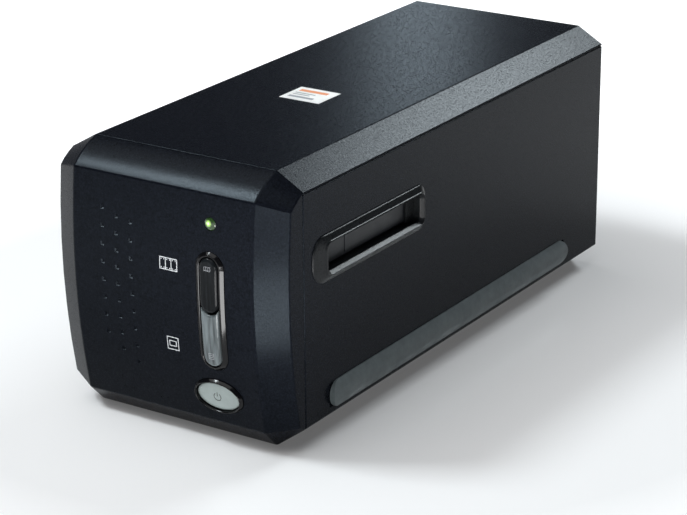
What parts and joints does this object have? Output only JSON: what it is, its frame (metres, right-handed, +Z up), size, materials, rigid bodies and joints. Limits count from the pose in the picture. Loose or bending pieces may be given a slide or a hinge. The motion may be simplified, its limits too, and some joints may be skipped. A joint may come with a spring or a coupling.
{
  "type": "film negative scanner",
  "caption": "Desktop scanner for film negatives and slides: octagonal black casing, bowed front with buttons, through slot with dust doors and an inner scan carriage.",
  "frame": {"origin": "on the table, under the middle of the object's box", "axes": "+X to the right, +Y to the rear (the bowed front looks along -Y), +Z up"},
  "size_m": [0.12, 0.274, 0.1186],
  "materials": {
    "casing_black": "fine textured black plastic with a faint blue-grey sheen",
    "slot_black": "smooth satin black plastic",
    "bumper_grey": "matt grey-green soft rubber",
    "foot_rubber": "matt black rubber",
    "screw_steel": "zinc-plated steel",
    "label_paper": "satin white foil label",
    "trim_gloss": "glossy black trim",
    "button_dark": "glossy smoke-black button",
    "button_smoke": "glossy translucent grey button",
    "power_silver": "satin silver-painted plastic",
    "light_green": "clear green light lens",
    "board_green": "green solder mask on glass-fibre board",
    "chip_black": "moulded black component bodies",
    "door_black": "satin black plastic",
    "pin_steel": "ground steel",
    "frame_grey": "glass-filled grey plastic",
    "bushing_bronze": "sintered bronze",
    "mirror_glass": "front-surface mirror",
    "lens_black": "black anodised aluminium",
    "lens_clear": "coated lens glass",
    "lamp_white": "white reflective plastic",
    "motor_steel": "zinc-plated motor can",
    "gear_white": "natural acetal",
    "belt_black": "neoprene timing belt",
    "cable_white": "flat film cable"
  },
  "bodies": {
    "casing": {"upper_cover": "casing_black", "lower_case": "casing_black", "front_bezel": "casing_black", "rear_panel": "casing_black", "slot_bezel_right": "slot_black", "slot_bezel_left": "slot_black", "bumper_right": "bumper_grey", "bumper_left": "bumper_grey", "rubber_feet": "foot_rubber", "cover_screws": "screw_steel", "bezel_screws": "screw_steel", "top_label": "label_paper", "button_surround": "trim_gloss", "power_ring": "trim_gloss", "status_lens": "light_green", "button_board": "board_green", "tact_switches": "chip_black", "door_pins": "pin_steel", "door_springs": "pin_steel", "film_track": "frame_grey", "holder_detent": "pin_steel", "base_chassis": "frame_grey", "guide_rod_left": "pin_steel", "guide_rod_right": "pin_steel", "rod_clips": "pin_steel", "stepper_motor": "motor_steel", "motor_bracket": "motor_steel", "gear_shaft": "pin_steel", "idler_slider": "pin_steel", "tension_spring": "pin_steel", "timing_belt": "belt_black", "home_sensor": "chip_black", "main_board": "board_green", "board_components": "chip_black", "usb_socket": "pin_steel", "power_inlet": "chip_black", "flat_cable": "cable_white", "inner_screws": "screw_steel"},
    "upper_scan_button": {"upper_scan_button": "button_dark"},
    "lower_scan_button": {"lower_scan_button": "button_smoke"},
    "power_button": {"power_button": "power_silver"},
    "right_dust_door": {"right_dust_door": "door_black"},
    "left_dust_door": {"left_dust_door": "door_black"},
    "carriage": {"scan_carriage": "frame_grey", "rod_bushings": "bushing_bronze", "scan_mirror": "mirror_glass", "lens_barrel": "lens_black", "lens_glass": "lens_clear", "lens_ring": "pin_steel", "sensor_board": "board_green", "line_sensor": "chip_black", "lamp_housing": "lamp_white", "lamp_board": "board_green", "light_diffuser": "lamp_white", "belt_clamp": "frame_grey"},
    "drive_gear": {"drive_gear": "gear_white"},
    "motor_pinion": {"motor_pinion": "bushing_bronze"},
    "idler_pulley": {"idler_pulley": "gear_white"}
  },
  "joints": [
    {"name": "power_button_press", "type": "slide", "parent": "casing", "child": "power_button", "axis": [0, 1, 0], "range_m": [0, 0.001], "stiffness_N_per_m": 600, "springref_m": -0.002},
    {"name": "upper_button_press", "type": "slide", "parent": "casing", "child": "upper_scan_button", "axis": [0, 1, 0], "range_m": [0, 0.0008], "stiffness_N_per_m": 600, "springref_m": -0.002},
    {"name": "lower_button_press", "type": "slide", "parent": "casing", "child": "lower_scan_button", "axis": [0, 1, 0], "range_m": [0, 0.0008], "stiffness_N_per_m": 600, "springref_m": -0.002},
    {"name": "right_door_hinge", "type": "hinge", "parent": "casing", "child": "right_dust_door", "pos_m": [0.053, -0.06635, 0.08385], "axis": [0, 1, 0], "range_deg": [0, 88], "stiffness_Nm_per_rad": 0.002, "springref_deg": -20.05},
    {"name": "left_door_hinge", "type": "hinge", "parent": "casing", "child": "left_dust_door", "pos_m": [-0.053, -0.06635, 0.08385], "axis": [0, 1, 0], "range_deg": [0, 88], "stiffness_Nm_per_rad": 0.002, "springref_deg": -20.05},
    {"name": "carriage_slide", "type": "slide", "parent": "casing", "child": "carriage", "axis": [0, -1, 0], "range_m": [0, 0.034]},
    {"name": "drive_gear_spin", "type": "hinge", "parent": "casing", "child": "drive_gear", "pos_m": [0, 0.08095, 0.024], "axis": [0, 0, 1], "range_deg": [-326, 0]},
    {"name": "idler_spin", "type": "hinge", "parent": "casing", "child": "idler_pulley", "pos_m": [0, -0.095, 0.015], "axis": [0, 0, 1], "range_deg": [-326, 0]},
    {"name": "motor_spin", "type": "hinge", "parent": "casing", "child": "motor_pinion", "pos_m": [0.02045, 0.08095, 0.022], "axis": [0, 0, 1], "range_deg": [0, 975]}
  ],
  "couplings": [
    {"joint": "drive_gear_spin", "follows": "carriage_slide", "rad_per_m": -166.67},
    {"joint": "idler_spin", "follows": "carriage_slide", "rad_per_m": -166.67},
    {"joint": "motor_spin", "follows": "carriage_slide", "rad_per_m": 500}
  ]
}
